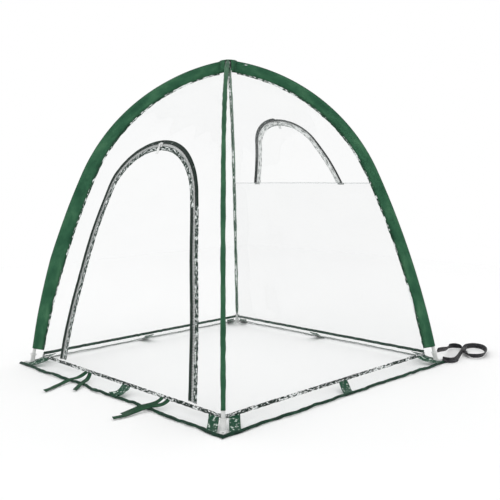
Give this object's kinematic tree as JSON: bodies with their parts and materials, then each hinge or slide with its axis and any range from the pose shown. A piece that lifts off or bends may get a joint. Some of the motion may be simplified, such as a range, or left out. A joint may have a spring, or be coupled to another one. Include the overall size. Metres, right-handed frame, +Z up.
{
  "type": "mini pop up greenhouse",
  "caption": "Folding dome greenhouse with curved poles in fabric sleeves, clear film walls, a zipped door, a zipped vent window and a ground skirt.",
  "frame": {"origin": "on the ground, at the middle of the square base, under the hub", "axes": "+Z up; the door faces -Y and the vent window +Y; the corners lie on the diagonals"},
  "size_m": [0.7949, 1.0072, 0.7385],
  "materials": {
    "pole_white": "white coated fibreglass rod",
    "ferrule_steel": "plated steel",
    "tip_white": "white moulded cap",
    "sleeve_green": "woven polyester, slightly wrinkled",
    "hub_black": "moulded nylon",
    "film_clear": "clear PVC film",
    "seam_tape": "dark woven tape with white stitching",
    "hem_green": "dark green binding tape",
    "patch_green": "woven green patch",
    "zip_tape": "nylon coil zip",
    "slider_metal": "pale enamelled slider",
    "strap_black": "woven black webbing"
  },
  "bodies": {
    "pole_back_left": {"rib_back_left": "pole_white", "rib_ferrule_back_left": "ferrule_steel", "foot_tip_back_left": "tip_white", "sleeve_back_left": "sleeve_green"},
    "cover": {"top_hub": "hub_black", "hub_pins": "ferrule_steel", "apex_cap": "sleeve_green", "wall_front": "film_clear", "base_seam_tape_front": "seam_tape", "skirt_front": "film_clear", "hem_tape_front": "hem_green", "stake_patch_front": "patch_green", "wall_right": "film_clear", "base_seam_tape_right": "seam_tape", "skirt_right": "film_clear", "hem_tape_right": "hem_green", "stake_patch_right": "patch_green", "wall_back": "film_clear", "base_seam_tape_back": "seam_tape", "skirt_back": "film_clear", "hem_tape_back": "hem_green", "stake_patch_back": "patch_green", "wall_left": "film_clear", "base_seam_tape_left": "seam_tape", "skirt_left": "film_clear", "hem_tape_left": "hem_green", "stake_patch_left": "patch_green", "corner_patch_front_right": "patch_green", "corner_patch_back_right": "patch_green", "corner_patch_back_left": "patch_green", "corner_patch_front_left": "patch_green", "door_zip_frame_tape": "zip_tape", "window_zip_frame_tape": "zip_tape", "door_tie_left_long": "hem_green", "door_tie_left_short": "hem_green", "door_tie_right_short": "hem_green", "door_tie_right_long": "hem_green"},
    "pole_front_right": {"rib_front_right": "pole_white", "rib_ferrule_front_right": "ferrule_steel", "foot_tip_front_right": "tip_white", "sleeve_front_right": "sleeve_green"},
    "pole_back_right": {"rib_back_right": "pole_white", "rib_ferrule_back_right": "ferrule_steel", "foot_tip_back_right": "tip_white", "sleeve_back_right": "sleeve_green", "storage_strap": "strap_black"},
    "pole_front_left": {"rib_front_left": "pole_white", "rib_ferrule_front_left": "ferrule_steel", "foot_tip_front_left": "tip_white", "sleeve_front_left": "sleeve_green"},
    "door": {"door_flap": "film_clear", "door_zip_flap_tape": "zip_tape"},
    "door_slider": {"door_zip_slider": "slider_metal"},
    "door_pull": {"door_zip_pull": "slider_metal"},
    "window": {"window_flap": "film_clear", "window_zip_flap_tape": "zip_tape"},
    "window_slider": {"window_zip_slider": "slider_metal"},
    "window_pull": {"window_zip_pull": "slider_metal"}
  },
  "joints": [
    {"name": "frame_fold", "type": "hinge", "parent": "pole_back_left", "child": "cover", "pos_m": [-0.00848, 0.00848, 0.72966], "axis": [0.7071, 0.7071, 0], "range_deg": [0, 32], "stiffness_Nm_per_rad": 3, "springref_deg": -17.19, "deforming": ["wall_front", "skirt_front", "base_seam_tape_front", "hem_tape_front", "wall_right", "skirt_right", "base_seam_tape_right", "hem_tape_right", "wall_back", "skirt_back", "base_seam_tape_back", "hem_tape_back", "wall_left", "skirt_left", "base_seam_tape_left", "hem_tape_left", "corner_patch_front_right", "corner_patch_back_right", "corner_patch_back_left", "corner_patch_front_left"]},
    {"name": "fold_front_right", "type": "hinge", "parent": "cover", "child": "pole_front_right", "pos_m": [0.00848, -0.00848, 0.72966], "axis": [0.7071, 0.7071, 0], "range_deg": [0, 32], "stiffness_Nm_per_rad": 3, "springref_deg": -17.19},
    {"name": "fold_back_right", "type": "hinge", "parent": "cover", "child": "pole_back_right", "pos_m": [0.00848, 0.00848, 0.72966], "axis": [-0.7071, 0.7071, 0], "range_deg": [0, 32], "stiffness_Nm_per_rad": 3, "springref_deg": -17.19},
    {"name": "fold_front_left", "type": "hinge", "parent": "cover", "child": "pole_front_left", "pos_m": [-0.00848, -0.00848, 0.72966], "axis": [0.7071, -0.7071, 0], "range_deg": [0, 32], "stiffness_Nm_per_rad": 3, "springref_deg": -17.19},
    {"name": "door_open", "type": "hinge", "parent": "cover", "child": "door", "pos_m": [0, -0.33556, 0.029], "axis": [1, 0, 0], "range_deg": [0, 100]},
    {"name": "door_slider_run", "type": "hinge", "parent": "door", "child": "door_slider", "pos_m": [0, -0.27326, 0.38427], "axis": [0, -0.9063, 0.4226], "range_deg": [-25, 25]},
    {"name": "door_pull_tip", "type": "hinge", "parent": "door_slider", "child": "door_pull", "pos_m": [0, -0.21018, 0.5347], "axis": [-1, 0, 0], "range_deg": [0, 150]},
    {"name": "window_open", "type": "hinge", "parent": "cover", "child": "window", "pos_m": [0, 0.23988, 0.441], "axis": [-1, 0, 0], "range_deg": [0, 120]},
    {"name": "window_slider_run", "type": "hinge", "parent": "window", "child": "window_slider", "pos_m": [0, 0.22054, 0.50285], "axis": [0, 0.8572, 0.515], "range_deg": [-12, 12]},
    {"name": "window_pull_tip", "type": "hinge", "parent": "window_slider", "child": "window_pull", "pos_m": [0, 0.16886, 0.6013], "axis": [1, 0, 0], "range_deg": [0, 150]}
  ],
  "couplings": [
    {"joint": "fold_front_right", "follows": "frame_fold", "ratio": 1},
    {"joint": "fold_back_right", "follows": "frame_fold", "ratio": 1},
    {"joint": "fold_front_left", "follows": "frame_fold", "ratio": 1}
  ]
}
